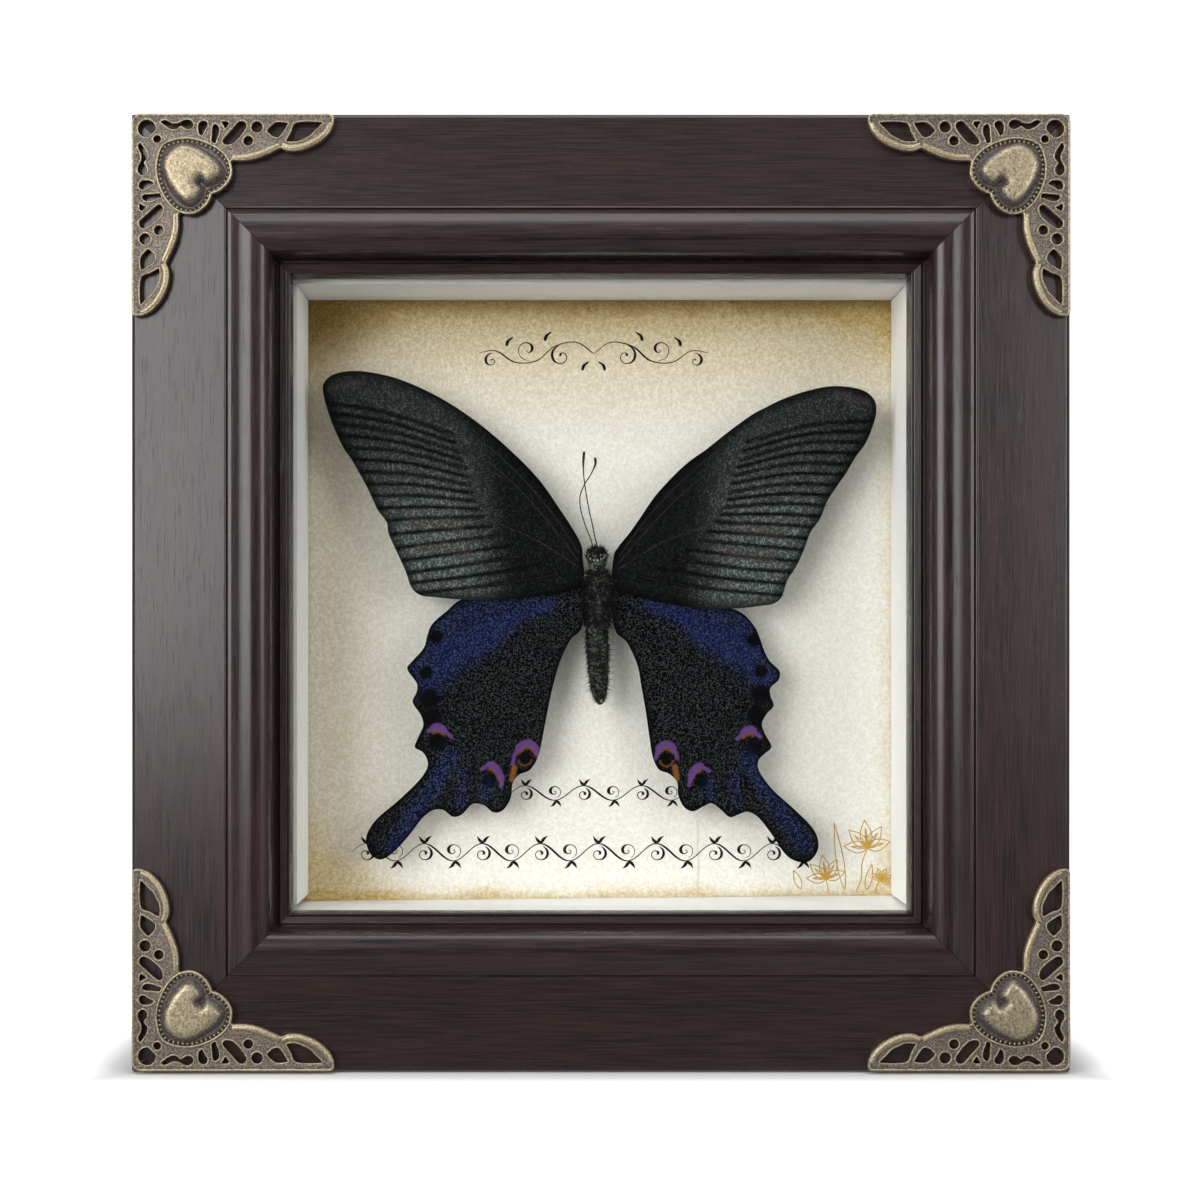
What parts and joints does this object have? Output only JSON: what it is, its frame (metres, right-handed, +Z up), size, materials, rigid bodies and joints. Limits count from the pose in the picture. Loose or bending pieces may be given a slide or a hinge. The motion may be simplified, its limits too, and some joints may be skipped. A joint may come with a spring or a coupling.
{
  "type": "framed butterfly specimen",
  "caption": "Upright glazed wooden box frame with pierced corner brackets, holding a black swallowtail butterfly spread over aged paper.",
  "frame": {"origin": "centre of the object's box on the plane that the frame stands on", "axes": "+Z up, -Y out of the glazed front, +X to the right of a viewer facing the front"},
  "size_m": [0.2, 0.0454, 0.204],
  "materials": {
    "frame_wood": "dark stained mahogany, varnished to a soft gloss, fine grain along each rail",
    "bracket_bronze": "antique bronze casting, bright on the raised parts and dark in the recesses",
    "pane_glass": "clear picture glass",
    "liner_board": "matt off-white board, cut by hand",
    "aged_paper": "old uncoated paper, cream in the middle and stained brown towards its edges",
    "grey_board": "plain grey board",
    "hardboard": "brown hardboard, slightly mottled",
    "point_steel": "plain zinc-plated steel",
    "hanger_steel": "thin brass-plated steel strip and nails",
    "pad_foam": "white foam",
    "forewing_scales": "black wing scales with grey-green bands between the veins",
    "hindwing_scales": "black wing scales with a deep blue area and violet and orange crescents",
    "body_hairs": "fine black and brown hairs",
    "antennae": "dull black"
  },
  "bodies": {
    "root": {"rail_top": "frame_wood", "rail_bottom": "frame_wood", "rail_left": "frame_wood", "rail_right": "frame_wood", "corner_bracket_top_left": "bracket_bronze", "corner_bracket_top_right": "bracket_bronze", "corner_bracket_bottom_left": "bracket_bronze", "corner_bracket_bottom_right": "bracket_bronze", "glass_pane": "pane_glass", "liner_top": "liner_board", "liner_bottom": "liner_board", "liner_left": "liner_board", "liner_right": "liner_board", "backing_paper": "aged_paper", "mount_board": "grey_board", "back_panel": "hardboard", "framers_point_top_a": "point_steel", "framers_point_top_b": "point_steel", "framers_point_bottom_a": "point_steel", "framers_point_bottom_b": "point_steel", "framers_point_left_a": "point_steel", "framers_point_left_b": "point_steel", "framers_point_right_a": "point_steel", "framers_point_right_b": "point_steel", "sawtooth_hanger": "hanger_steel", "hanger_nail_left": "hanger_steel", "hanger_nail_right": "hanger_steel", "mounting_pad": "pad_foam", "forewing_left": "forewing_scales", "forewing_right": "forewing_scales", "hindwing_left": "hindwing_scales", "hindwing_right": "hindwing_scales", "insect_body": "body_hairs", "antenna_left": "antennae", "antenna_right": "antennae"}
  },
  "joints": []
}
